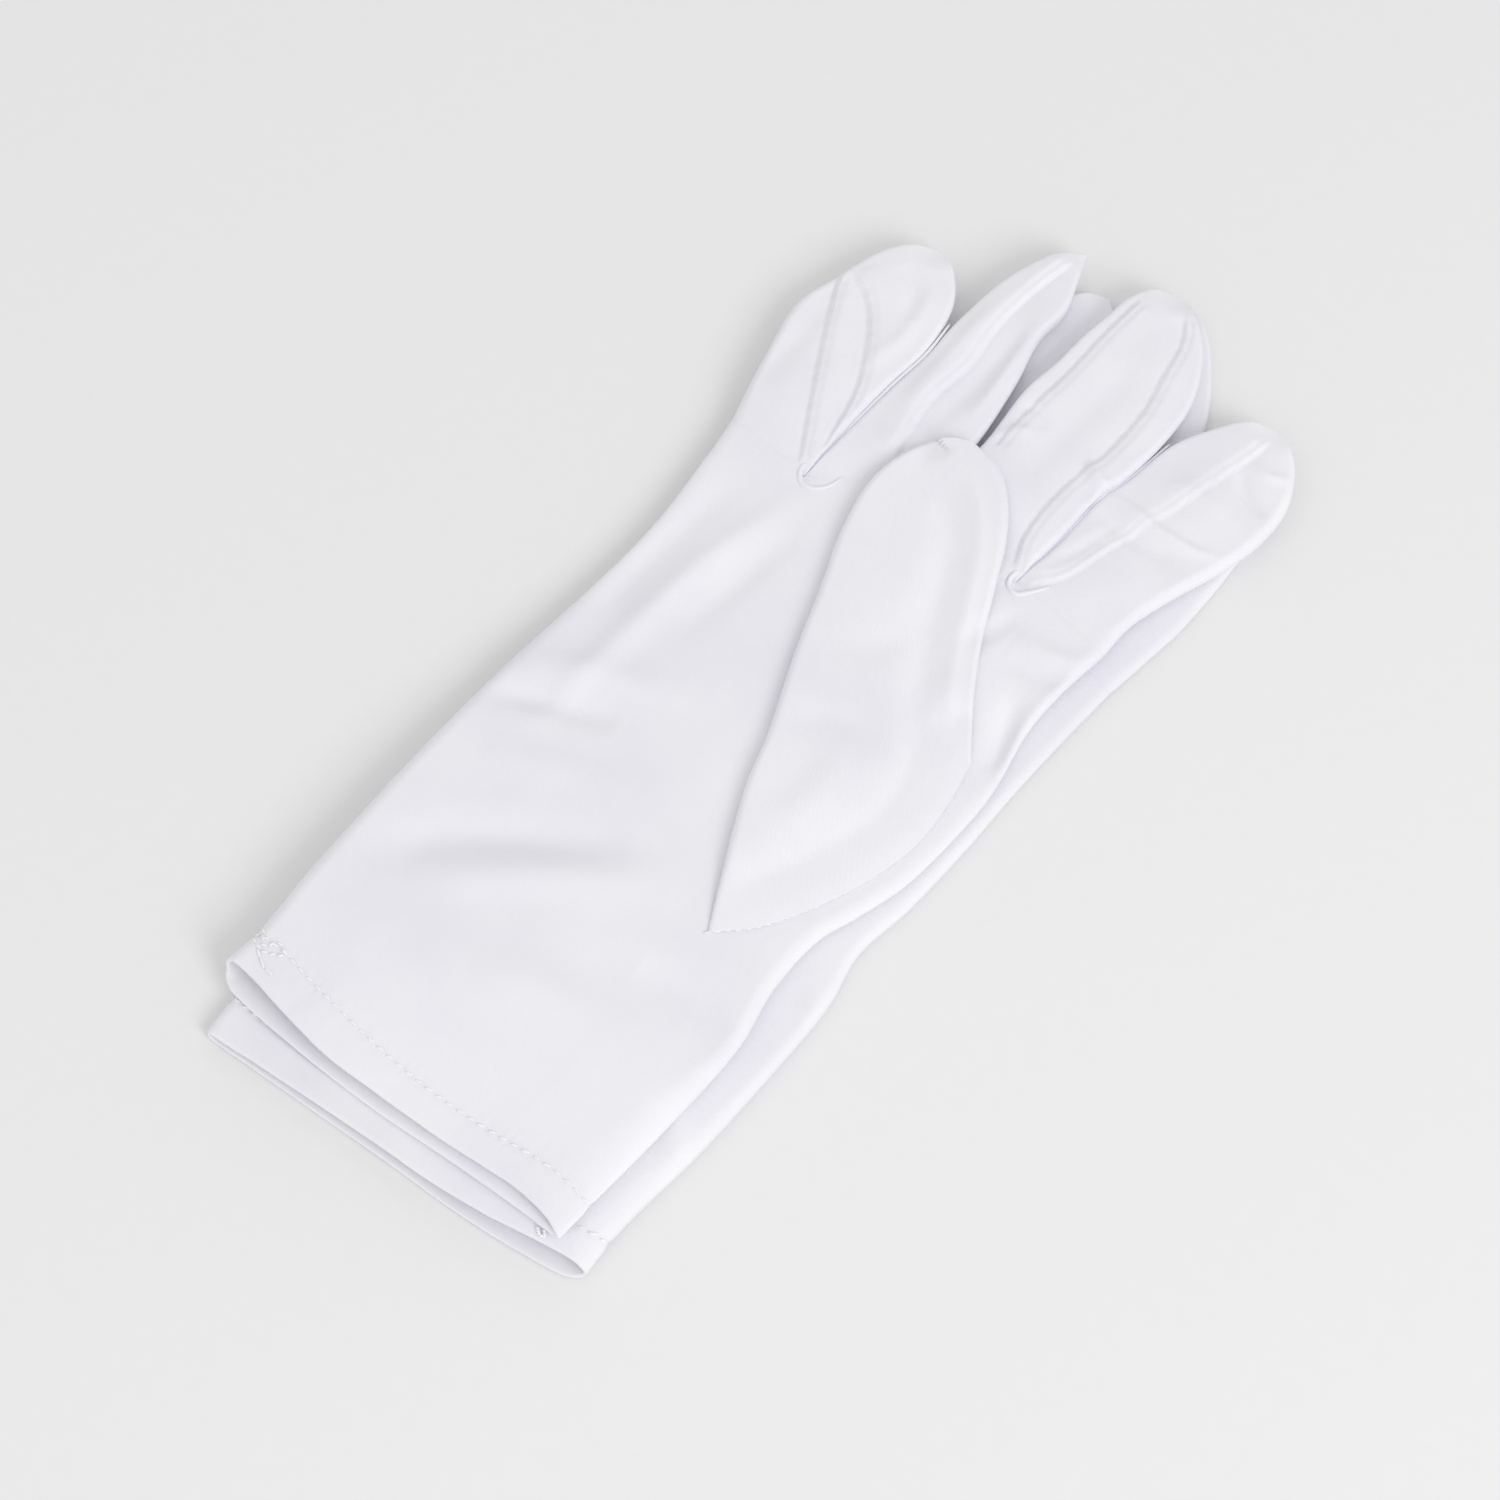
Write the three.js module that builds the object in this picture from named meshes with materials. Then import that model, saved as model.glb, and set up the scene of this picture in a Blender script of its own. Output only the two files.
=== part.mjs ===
// A pair of plain white stretch-knit dress gloves, lying flat as they come from the packet.
// The right glove lies palm up on top, with its thumb folded over the palm.
// The left glove lies palm down underneath, a little askew, so its cuff and one side show.
// Millimetres, +X across the hands towards the thumbs, +Y from the cuffs to the fingertips, +Z up.
import * as THREE from 'three';

// ---- cloth and seams ----
const leafThick = 0.6;        // one layer of knit with its nap
const seamGap = 0.3;          // clearance kept between neighbouring pieces
const fingerLoft = 2.0;       // air between the two layers of a finger or thumb
const mouthLoft = 6.2;        // air between the two layers at the cuff
const loftFallStart = 26;     // the mouth's loft holds up to here, measured from the cuff edge
const loftFallEnd = 118;      // and has fallen to the finger loft here
const hemDepth = 8;           // turned-up hem at the cuff
const hemThick = 0.5;         // second layer of the hem, inside the leaf
const seamInset = 14;         // the side seam's allowance, pressed this far in from the fold
const threadWide = 0.5;       // a row of sewing thread on the cloth
const threadTall = 0.3;
const webThick = 0.7;         // a fourchette strip, standing on edge

// ---- the cut of a glove, in its own plan: cuff edge at y = 0, middle of the cuff at x = 0 ----
const cuffWidth = 83;         // across the flat cuff
const palmWidth = 86;         // across the palm, below the fingers
const palmLength = 151;       // cuff edge to the crotch of the little finger
const palmDrift = -2;         // sideways drift of the palm's centre line at the finger roots
const fingerGap = 0.8;        // plan gap between one finger and the next
const foldClear = 0.8;        // plan gap at a fold line, between the fixed and the folding cloth

// Each finger takes a share of the palm's width, narrows by its taper, and is drawn through
// its fold line, its bend and its tip, all measured from the middle of its root.
const fingers = {
  little: { share: 0.240, taper: 1.00, fold: [-3.0, 10], bend: [-9.5, 31], tip: [-8.5, 57] },
  ring: { share: 0.235, taper: 0.84, fold: [-2.0, 30], bend: [-3.2, 49], tip: [-4.5, 76] },
  middle: { share: 0.265, taper: 1.08, fold: [0.0, 30], bend: [0.2, 53], tip: [0.5, 80] },
  index: { share: 0.260, taper: 1.12, fold: [2.6, 17], bend: [7.0, 42], tip: [10.5, 68] },
};

// ---- the right thumb, measured from the heel of its seam ----
const heelInset = 19;         // heel of the thumb seam, in from the side of the palm
const heelUp = 61;            // and up from the cuff edge
const crook = [17.5, 58];     // where the thumb leaves the side of the palm
const thumbInner = [[-13, 25], [-25.6, 55], [-36.3, 81], [-38.9, 95]]; // folded side, heel to shoulder
const thumbOuter = [[12, 65], [4, 76], [-5, 92], [-14, 107]];          // seamed side, crook to tip
const thumbTip = [-26, 113.5];
const thumbStandOff = 1.6;    // the folding cloth starts this far from the thumb's fold line
const gussetReach = 7;        // bulge of the thumb seam beyond the fold line

// ---- the left thumb, tucked between the layers of the left glove ----
const tuckedHeel = [17, heelUp + 13];
const tuckedTip = [-4, palmLength - 21];
const tuckedWidth = [20, 14]; // at its heel and at its tip

// ---- the left glove is the same cut, laid askew underneath ----
const leftShift = [7.5, -2];  // how far it lies off the right glove
const leftTurn = 0.015;       // radians it is turned, anticlockwise
const leftCuffSlant = 0.14;   // its cuff is drawn back by this slope from the thumb side

// ---- places across a pouch, as shares of its half width ----
const palmFlat = 0.8;         // the over layer of the palm is level up to here
const fingerFlat = 0.6;       // and that of a finger or thumb up to here
const webPlace = 0.5;         // the fourchettes stand here
const palmColumns = 10;       // these two keep a grid line on palmFlat and on fingerFlat
const fingerColumns = 5;

const lerp = (a, b, t) => a + (b - a) * t;
const mix2 = (p, q, t) => [lerp(p[0], q[0], t), lerp(p[1], q[1], t)];
const add2 = (p, q) => [p[0] + q[0], p[1] + q[1]];
const clamp01 = (t) => Math.min(1, Math.max(0, t));
const smooth = (t) => t * t * (3 - 2 * t);

const looks = {
  knit: { color: 0xf3f2f8, roughness: 0.62 },
  hem: { color: 0xefeef6, roughness: 0.6 },
  web: { color: 0xf0eff6, roughness: 0.62 },
  thread: { color: 0xffffff, roughness: 0.5 },
};

const pair = new THREE.Group();

function addPiece(name, geometry, kind) {
  const mesh = new THREE.Mesh(geometry, new THREE.MeshStandardMaterial({ ...looks[kind], metalness: 0 }));
  mesh.name = name;
  pair.add(mesh);
}

// A thin closed block whose every point is carried to place(u, v, w):
// u from -1 to 1 across, v from 0 to 1 along, w 0 below and 1 above.
function mappedBlock(across, along, place) {
  const block = new THREE.BoxGeometry(2, 1, 1, across, along, 1);
  const at = block.attributes.position;
  for (let i = 0; i < at.count; i += 1) {
    at.setXYZ(i, ...place(at.getX(i), at.getY(i) + 0.5, at.getZ(i) + 0.5));
  }
  block.computeVertexNormals();
  return block;
}

// ---- heights ----
// Air between the two layers at a distance y from the cuff edge.
function loftAt(y) {
  const fall = smooth(clamp01((y - loftFallStart) / (loftFallEnd - loftFallStart)));
  return lerp(mouthLoft, fingerLoft, fall);
}

// The over layer is level in the middle and slopes down to the folds at the sides.
function crownedLoft(u, loft, flat) {
  const slope = clamp01((Math.abs(u) - flat) / (1 - flat));
  return lerp(loft, seamGap, slope);
}

// The underside of a glove: on the table, or on the crown of the left glove with its hem thread.
function restHeight(glove, y) {
  const onLeft = 2 * leafThick + loftAt(y) + 2 * seamGap + threadTall;
  return glove === 'left' ? 0 : onLeft;
}

function leafHeight(glove, layer, u, y, flat) {
  const rest = restHeight(glove, y);
  return layer === 'under' ? rest : rest + leafThick + crownedLoft(u, loftAt(y), flat);
}

// What lies on top of the right glove's palm rests here.
function onPalm(y) {
  return restHeight('right', y) + 2 * leafThick + loftAt(y) + seamGap;
}

// ---- plan ----
// The left glove's plan is the right glove's, slanted at the cuff, turned and moved.
function settle(glove, [x, y]) {
  if (glove === 'right') return [x, y];
  const up = y + leftCuffSlant * (x - cuffWidth / 2) * (1 - clamp01(y / palmLength));
  const c = Math.cos(leftTurn);
  const s = Math.sin(leftTurn);
  return add2(leftShift, [c * x - s * up, s * x + c * up]);
}

function palmPoint(u, y) {
  const t = smooth(clamp01(y / palmLength));
  return [palmDrift * t + (u * lerp(cuffWidth, palmWidth, t)) / 2, y];
}

// Middle of a finger's root: the shares stand side by side across the palm.
function fingerRoot(name) {
  let before = 0;
  for (const [other, { share }] of Object.entries(fingers)) {
    if (other === name) break;
    before += share;
  }
  const middle = before + fingers[name].share / 2;
  return add2(palmPoint(2 * middle - 1, palmLength), [0, seamGap]);
}

function fingerLine(name) {
  const { fold, bend, tip } = fingers[name];
  const root = fingerRoot(name);
  const bones = [[0, 0], fold, bend, tip].map((p) => new THREE.Vector3(...add2(root, p), 0));
  return new THREE.CatmullRomCurve3(bones);
}

// The curve passes through its second of four points a third of the way along.
const foldAt = 1 / 3;

function fingerPoint(name, u, v) {
  const roundFrom = 0.74;
  const line = fingerLine(name);
  const centre = line.getPoint(v);
  const along = line.getTangent(v);
  const { share, taper } = fingers[name];
  const past = clamp01((v - roundFrom) / (1 - roundFrom));
  const tipRound = Math.max(0.3, Math.sqrt(1 - past ** 2.6));
  const half = ((share * palmWidth - fingerGap) / 2) * lerp(1, taper, v) * tipRound;
  const turn = smooth(clamp01(v / foldAt));
  return [centre.x + u * half * lerp(1, along.y, turn), centre.y - u * half * along.x * turn];
}

// ---- body of a glove ----
function palmLeaf(glove, layer) {
  return mappedBlock(palmColumns, 12, (u, v, w) => {
    const y = v * (palmLength - seamGap);
    const [px, py] = settle(glove, palmPoint(u, y));
    return [px, py, leafHeight(glove, layer, u, y, palmFlat) + w * leafThick];
  });
}

// A hem is the turned layer just inside the cuff edge of a leaf.
function hemBand(glove, layer) {
  const edgeTurn = 0.4;
  return mappedBlock(8, 1, (u, v, w) => {
    const y = lerp(edgeTurn, hemDepth, v);
    const [px, py] = settle(glove, palmPoint(u * palmFlat, y));
    const leaf = leafHeight(glove, layer, 0, y, palmFlat);
    const bottom = layer === 'under' ? leaf + leafThick + seamGap : leaf - seamGap - hemThick;
    return [px, py, bottom + w * hemThick];
  });
}

// The row of stitches that holds a hem, on the outside of the over layer.
function hemThread(glove) {
  return mappedBlock(8, 1, (u, v, w) => {
    const y = hemDepth - 2 * threadWide + v * threadWide;
    const [px, py] = settle(glove, palmPoint(u * palmFlat, y));
    const bottom = leafHeight(glove, 'over', 0, y, palmFlat) + leafThick + seamGap;
    return [px, py, bottom + w * threadTall];
  });
}

// The side seam runs up the little-finger side, between the two layers.
function sideSeam(glove) {
  return mappedBlock(1, 14, (u, v, w) => {
    const y = lerp(hemDepth + 1, palmLength - 4, v);
    const [x] = palmPoint(-1, y);
    const [px, py] = settle(glove, [x + seamInset + (u * threadWide) / 2, y]);
    return [px, py, restHeight(glove, y) + leafThick + seamGap + w * threadTall];
  });
}

function addBody(glove, over, under) {
  addPiece(`${glove}_${over}_panel`, palmLeaf(glove, 'over'), 'knit');
  addPiece(`${glove}_${under}_panel`, palmLeaf(glove, 'under'), 'knit');
  addPiece(`${glove}_${over}_hem`, hemBand(glove, 'over'), 'hem');
  addPiece(`${glove}_${under}_hem`, hemBand(glove, 'under'), 'hem');
  addPiece(`${glove}_hem_thread`, hemThread(glove), 'thread');
  addPiece(`${glove}_side_seam`, sideSeam(glove), 'thread');
}

// ---- fingers ----
function fingerLeaf(glove, layer, name, from, to, rows) {
  return mappedBlock(fingerColumns, rows, (u, v, w) => {
    const [x, y] = fingerPoint(name, u, lerp(from, to, v));
    const [px, py] = settle(glove, [x, y]);
    return [px, py, leafHeight(glove, layer, u, y, fingerFlat) + w * leafThick];
  });
}

// A left finger lies still under the right glove, so each of its layers is one piece.
function addLeftFinger(name) {
  addPiece(`left_${name}_back`, fingerLeaf('left', 'over', name, 0, 1, 9), 'knit');
  addPiece(`left_${name}_front`, fingerLeaf('left', 'under', name, 0, 1, 9), 'knit');
}

// A right finger folds: its root stays with the palm, and the rest turns about the fold line.
function addRightFinger(name) {
  const clear = foldClear / 2 / fingerLine(name).getLength();
  for (const [layer, side] of [['over', 'front'], ['under', 'back']]) {
    const root = fingerLeaf('right', layer, name, 0, foldAt - clear, 2);
    const end = fingerLeaf('right', layer, name, foldAt + clear, 1, 7);
    addPiece(`right_${name}_root_${side}`, root, 'knit');
    addPiece(`right_${name}_${side}`, end, 'knit');
  }
}

// ---- fourchettes: strips down one finger, round the crotch and up the next ----
function webStrip(glove, name, place, from) {
  const endAt = 0.84;
  const { share } = fingers[name];
  const halfThick = webThick / (share * palmWidth);
  return mappedBlock(1, 8, (u, v, w) => {
    const [x, y] = fingerPoint(name, place + u * halfThick, lerp(from, endAt, v));
    const [px, py] = settle(glove, [x, y]);
    const bottom = restHeight(glove, y) + leafThick + seamGap;
    return [px, py, bottom + w * (loftAt(y) - 2 * seamGap)];
  });
}

function webCrotch(glove, leftName) {
  const { share } = fingers[leftName];
  const [rootX] = fingerRoot(leftName);
  const crotchX = rootX + (share * palmWidth) / 2;
  const halfSpan = 2.2;
  const dip = 1.8;
  return mappedBlock(4, 1, (u, v, w) => {
    const y = palmLength - 2 - dip * (1 - u * u) + v * webThick;
    const [px, py] = settle(glove, [crotchX + u * halfSpan, y]);
    const bottom = restHeight(glove, y) + leafThick + seamGap;
    return [px, py, bottom + w * (loftAt(y) - 2 * seamGap)];
  });
}

function addFourchette(glove, leftName, rightName) {
  const tag = `${glove}_${leftName}_${rightName}`;
  const from = glove === 'left' ? 0.05 : foldAt + 0.03;
  addPiece(`${tag}_crotch`, webCrotch(glove, leftName), 'web');
  addPiece(`${tag}_web_a`, webStrip(glove, leftName, webPlace, from), 'web');
  addPiece(`${tag}_web_b`, webStrip(glove, rightName, -webPlace, from), 'web');
}

// ---- the right thumb ----
function heelPoint() {
  return add2(palmPoint(1, heelUp), [-heelInset, 0]);
}

// Along the fold line from the heel to the crook.
function foldDirection() {
  const length = Math.hypot(...crook);
  return [crook[0] / length, crook[1] / length];
}

function offFold(point, distance) {
  const [dx, dy] = foldDirection();
  return add2(point, [-dy * distance, dx * distance]);
}

function thumbPoint(u, v) {
  const side = (start, way) => {
    const points = [offFold(start, thumbStandOff), ...way, thumbTip];
    return new THREE.CatmullRomCurve3(points.map((p) => new THREE.Vector3(...add2(heelPoint(), p), 0)));
  };
  const reach = 0.93 * v;
  const a = side([0, 0], thumbInner).getPoint(reach);
  const b = side(crook, thumbOuter).getPoint(reach);
  return mix2([a.x, a.y], [b.x, b.y], (u + 1) / 2);
}

function thumbLeaf(layer) {
  return mappedBlock(fingerColumns, 8, (u, v, w) => {
    const [x, y] = thumbPoint(u, v);
    const lift = layer === 'under' ? 0 : leafThick + crownedLoft(u, fingerLoft, fingerFlat);
    return [x, y, onPalm(y) + lift + w * leafThick];
  });
}

// The crescent of thumb cloth between its fold line and its seam to the palm.
function thumbGusset() {
  return mappedBlock(2, 10, (u, v, w) => {
    const line = add2(heelPoint(), mix2([0, 0], crook, lerp(0.04, 0.96, v)));
    const bulge = gussetReach * Math.sin(Math.PI * v) ** 0.8;
    const [x, y] = offFold(line, -lerp(thumbStandOff / 2, thumbStandOff + bulge, (u + 1) / 2));
    return [x, y, onPalm(y) + w * leafThick];
  });
}

// The pressed seam down the outer side of the thumb, on its over layer.
function thumbSeam() {
  const place = 0.5;
  const halfWide = 0.03;
  return mappedBlock(1, 8, (u, v, w) => {
    const [x, y] = thumbPoint(place + u * halfWide, lerp(1, 7, v) / 8);
    const top = onPalm(y) + 2 * leafThick + fingerLoft;
    return [x, y, top + seamGap + w * threadTall];
  });
}

// The left thumb lies flat between the left glove's two layers.
function tuckedThumb() {
  return mappedBlock(2, 6, (u, v, w) => {
    const half = (lerp(...tuckedWidth, v) / 2) * Math.sqrt(1 - 0.8 * v ** 6);
    const [x, y] = add2(mix2(tuckedHeel, tuckedTip, v), [u * half, u * half * 0.35]);
    const [px, py] = settle('left', [x, y]);
    return [px, py, leafThick + seamGap + w * 2 * leafThick];
  });
}

addBody('right', 'palm', 'back');
addBody('left', 'back', 'palm');
for (const name of Object.keys(fingers)) {
  addRightFinger(name);
  addLeftFinger(name);
}
for (const glove of ['right', 'left']) {
  addFourchette(glove, 'little', 'ring');
  addFourchette(glove, 'ring', 'middle');
  addFourchette(glove, 'middle', 'index');
}
addPiece('right_thumb_front', thumbLeaf('over'), 'knit');
addPiece('right_thumb_back', thumbLeaf('under'), 'knit');
addPiece('right_thumb_gusset', thumbGusset(), 'knit');
addPiece('right_thumb_seam', thumbSeam(), 'thread');
addPiece('left_thumb', tuckedThumb(), 'knit');

// The origin is the middle of the underside.
const bounds = new THREE.Box3().setFromObject(pair);
const middle = bounds.getCenter(new THREE.Vector3());
pair.position.set(-middle.x, -middle.y, -bounds.min.z);

export default pair;
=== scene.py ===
import math

import bmesh
import bpy
import numpy as np
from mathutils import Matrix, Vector


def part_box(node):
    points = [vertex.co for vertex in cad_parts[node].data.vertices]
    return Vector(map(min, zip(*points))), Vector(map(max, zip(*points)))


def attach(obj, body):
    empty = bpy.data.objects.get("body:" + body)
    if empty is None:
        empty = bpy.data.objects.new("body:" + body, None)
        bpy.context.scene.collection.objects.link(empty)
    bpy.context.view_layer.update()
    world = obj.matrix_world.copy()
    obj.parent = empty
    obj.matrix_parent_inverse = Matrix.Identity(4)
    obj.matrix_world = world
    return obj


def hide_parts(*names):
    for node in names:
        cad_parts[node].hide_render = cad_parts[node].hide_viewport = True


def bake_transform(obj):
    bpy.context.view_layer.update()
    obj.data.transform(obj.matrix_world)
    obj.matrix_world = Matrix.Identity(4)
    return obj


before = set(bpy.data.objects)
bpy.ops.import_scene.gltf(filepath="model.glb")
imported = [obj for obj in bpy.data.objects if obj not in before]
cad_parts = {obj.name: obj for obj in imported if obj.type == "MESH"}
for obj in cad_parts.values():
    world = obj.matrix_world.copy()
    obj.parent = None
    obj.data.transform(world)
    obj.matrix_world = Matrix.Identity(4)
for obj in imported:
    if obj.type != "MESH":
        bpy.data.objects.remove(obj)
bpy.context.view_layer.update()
print("frame loaded,", len(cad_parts), "nodes")

mm = 0.001
palmLow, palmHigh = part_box("right_palm_panel")
cuffMiddle = np.array([(palmLow.x + palmHigh.x) / 2, palmLow.y, 0.0])  # plans are measured from here, in mm

# In mm: heights of each glove at its cuff and once settled flat, and where along it that fall lies.
laying = dict(
    leftUnder=0.45,
    leftTop=(4.9, 2.9),
    restGap=0.75,
    rightTop=(11.2, 6.3),
    fallFrom=15.0,
    fallTo=118.0,
    # heights gained or lost: (height, where the change starts, over what length)
    leftSag=(1.0, -34, 64),
    rightSag=(2.0, -34, 42),
    mouthEnd=(1.0, 2, 28),
    rootRise=(1.5, 142, 30),
    knit=0.35,
)


def smooth(t):
    t = np.clip(t, 0.0, 1.0)
    return t * t * (3 - 2 * t)


def ramp(distance, shape):
    height, start, length = shape
    return height * smooth((distance - start) / length)


def lengthAlong(points):
    return np.concatenate([[0], np.cumsum(np.linalg.norm(np.diff(points, axis=0), axis=1))])


def fromSides(grid):
    # distance of every point of a grid from its left and its right border, along its row
    steps = np.linalg.norm(np.diff(grid, axis=1), axis=2)
    fromLeft = np.concatenate([np.zeros((len(grid), 1)), np.cumsum(steps, axis=1)], axis=1)
    return fromLeft, fromLeft[:, -1:] - fromLeft


def bell(distance, width):
    return np.exp(-((distance / width) ** 2))


def hump(distance, shape):
    height, away, width = shape
    return height * bell(distance - away, width)


def addObject(name, data):
    piece = bpy.data.objects.new(name, data)
    bpy.context.scene.collection.objects.link(piece)
    return piece


def curveThrough(points, count=None, shares=None):
    # A smooth line through listed points, sampled evenly or at given shares of its length.
    p = np.array(points, float)
    t = np.concatenate([[0], np.cumsum(np.sqrt(np.linalg.norm(np.diff(p, axis=0), axis=1)))])
    slope = np.zeros_like(p)
    slope[1:-1] = (p[2:] - p[:-2]) / (t[2:] - t[:-2])[:, None]
    slope[0] = (p[1] - p[0]) / (t[1] - t[0])
    slope[-1] = (p[-1] - p[-2]) / (t[-1] - t[-2])
    dense = []
    for i in range(len(p) - 1):
        h = t[i + 1] - t[i]
        for u in np.linspace(0, 1, 24, endpoint=False):
            a, b = 2 * u**3 - 3 * u**2 + 1, u**3 - 2 * u**2 + u
            c, d = -2 * u**3 + 3 * u**2, u**3 - u**2
            dense.append(a * p[i] + b * h * slope[i] + c * p[i + 1] + d * h * slope[i + 1])
    dense = np.array([*dense, p[-1]])
    along = lengthAlong(dense)
    want = (np.linspace(0, 1, count) if shares is None else np.asarray(shares)) * along[-1]
    return np.stack([np.interp(want, along, dense[:, k]) for k in range(p.shape[1])], axis=1)


def patchBetween(near, far, left, right, s, v):
    # Fills four border lines: near and far run left to right, left and right run near to far.
    s, v = np.asarray(s)[None, :, None], np.asarray(v)[:, None, None]
    rails = (1 - s) * left[:, None] + s * right[:, None]
    ends = (1 - v) * near[None] + v * far[None]
    corners = (1 - v) * ((1 - s) * near[0] + s * near[-1]) + v * ((1 - s) * far[0] + s * far[-1])
    return rails + ends - corners


def offLine(x, y, points):
    # (distance to a line, side of it, share of its length) for every point of a grid
    p = curveThrough(points, 60) if len(points) > 2 else np.array(points, float)
    best = np.full(x.shape, 1e9)
    side, share = np.zeros(x.shape), np.zeros(x.shape)
    steps = np.linalg.norm(np.diff(p, axis=0), axis=1)
    before = lengthAlong(p)
    for i in range(len(p) - 1):
        d = p[i + 1] - p[i]
        t = np.clip(((x - p[i, 0]) * d[0] + (y - p[i, 1]) * d[1]) / (d @ d), 0, 1)
        ox, oy = x - p[i, 0] - t * d[0], y - p[i, 1] - t * d[1]
        far = np.hypot(ox, oy)
        closer = far < best
        best = np.where(closer, far, best)
        side = np.where(closer, np.sign(d[0] * oy - d[1] * ox), side)
        share = np.where(closer, (before[i] + t * steps[i]) / before[-1], share)
    return best, side, share


softness = dict(
    foldGain=1.55,  # a fold stands this many times the height it is given
    foldFade=0.6,
    waves=14,
    waveSizes=(0.7, 1.8),
    waveShare=5,
)


def softFolds(x, y, folds):
    # Each fold is (line, height, half width); it fades out towards both of its ends.
    z = np.zeros(x.shape)
    for line, height, width in folds:
        d, _, share = offLine(x, y, line)
        fade = np.sin(np.pi * np.clip(share, 0.02, 0.98)) ** softness["foldFade"]
        z += softness["foldGain"] * height * bell(d, width) * fade
    return z


def ripple(x, y, seed, length, height):
    # Slow unevenness of cloth that lies loose, from a fixed seed.
    rng = np.random.default_rng(seed)
    z = np.zeros(x.shape)
    for _ in range(softness["waves"]):
        turn, phase = rng.uniform(0, 2 * np.pi, 2)
        size = length * rng.uniform(*softness["waveSizes"])
        z += np.sin((x * np.cos(turn) + y * np.sin(turn)) * 2 * np.pi / size + phase)
    return z * height / softness["waveShare"]


def roundedEdge(distance, radius):
    c = 1 - np.clip(distance / np.maximum(radius, 1e-6), 0, 1)
    return np.sqrt(np.clip(1 - c * c, 0, 1))


def sideSpacing(count, tight=0.55):
    t = np.linspace(0, 1, count)
    return (1 - tight) * t + tight * (0.5 - 0.5 * np.cos(np.pi * t))


# Heights of the lying cloth; places and heights are in mm.
def settled(pair, y):
    fall = 1 - smooth((y - laying["fallFrom"]) / (laying["fallTo"] - laying["fallFrom"]))
    return pair[1] + (pair[0] - pair[1]) * fall


def nearMouth(y):
    return 1 - ramp(y, laying["mouthEnd"])


def leftTopAt(x, y):
    sag = laying["leftSag"][0] - ramp(x, laying["leftSag"])
    return settled(laying["leftTop"], y) - sag * nearMouth(y)


def rightUnderAt(x, y):
    return leftTopAt(x, y) + laying["restGap"]


def rightTopAt(x, y):
    sag = ramp(x, laying["rightSag"]) * nearMouth(y)
    return settled(laying["rightTop"], y) - sag + ramp(y, laying["rootRise"])


def ringNormals(rings):
    around = np.roll(rings, -1, axis=1) - np.roll(rings, 1, axis=1)
    along = np.gradient(rings, axis=0)
    n = np.cross(around, along)
    return n / np.maximum(np.linalg.norm(n, axis=2, keepdims=True), 1e-9)


def closedRings(top, under):
    # top and under share their outer columns; a ring runs over the top and back underneath
    return np.concatenate([top, under[:, -2:0:-1]], axis=1)


def clothMesh(name, rings, material, girth):
    # rings of points, each closed on itself; girth is the texture's width round them, in mm,
    # shared out evenly between the columns, however far apart they stand
    rows, columns = rings.shape[:2]
    points = cuffMiddle + rings.reshape(-1, 3) * mm
    across = np.linspace(0, girth * mm, columns + 1)
    rowSteps = np.linalg.norm(np.diff(rings, axis=0), axis=2).mean(axis=1)
    upward = np.concatenate([[0], np.cumsum(rowSteps)]) * mm
    quads, corners = [], []
    for r in range(rows - 1):
        for c in range(columns):
            n = (c + 1) % columns
            quads.append((r * columns + c, r * columns + n, (r + 1) * columns + n, (r + 1) * columns + c))
            corners += [(across[c], upward[r]), (across[c + 1], upward[r])]
            corners += [(across[c + 1], upward[r + 1]), (across[c], upward[r + 1])]
    mesh = bpy.data.meshes.new(name)
    mesh.from_pydata(points.tolist(), [], quads)
    mesh.uv_layers.new(name="cloth").data.foreach_set("uv", np.ravel(corners))
    piece = addObject(name, mesh)
    weldPoints(piece)
    mesh.shade_smooth()
    mesh.materials.append(material)
    return piece


def weldPoints(piece):
    b = bmesh.new()
    b.from_mesh(piece.data)
    bmesh.ops.remove_doubles(b, verts=b.verts, dist=0.00002)
    bmesh.ops.dissolve_degenerate(b, edges=b.edges, dist=0.00001)
    b.to_mesh(piece.data)
    b.free()


def thicken(piece, thickness):
    # the open borders are kept crisp, so that the rim doesn't turn the shading beside it
    mesh = piece.data
    sides = np.zeros(len(mesh.loops), int)
    mesh.loops.foreach_get("edge_index", sides)
    border = np.bincount(sides, minlength=len(mesh.edges)) == 1
    mesh.edges.foreach_set("use_edge_sharp", border)
    layer = piece.modifiers.new("knit thickness", "SOLIDIFY")
    layer.thickness = thickness * mm
    layer.offset = -1
    layer.use_quality_normals = True


def linear(code):
    values = [int(code[i : i + 2], 16) / 255 for i in (1, 3, 5)]
    return [v / 12.92 if v <= 0.04045 else ((v + 0.055) / 1.055) ** 2.4 for v in values] + [1.0]


def addNode(tree, kind, settings=None, links=None):
    # each link comes from an output, or from a node, which stands for its first output
    node = tree.nodes.new(kind)
    for key, value in (settings or {}).items():
        if isinstance(key, int) or key in node.inputs:
            node.inputs[key].default_value = value
        else:
            setattr(node, key, value)
    for key, source in (links or {}).items():
        output = source if isinstance(source, bpy.types.NodeSocket) else source.outputs[0]
        tree.links.new(output, node.inputs[key])
    return node


def newMaterial(name):
    material = bpy.data.materials.new(name)
    material.use_nodes = True
    material.node_tree.nodes.clear()
    return material, material.node_tree, addNode(material.node_tree, "ShaderNodeTexCoord").outputs["Object"]


def waveScale(pitch):
    # the wave texture turns through 20 radians a metre at a scale of 1, and a ridge takes one whole turn
    return 1000 / pitch / 20 * 6.2832


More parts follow.
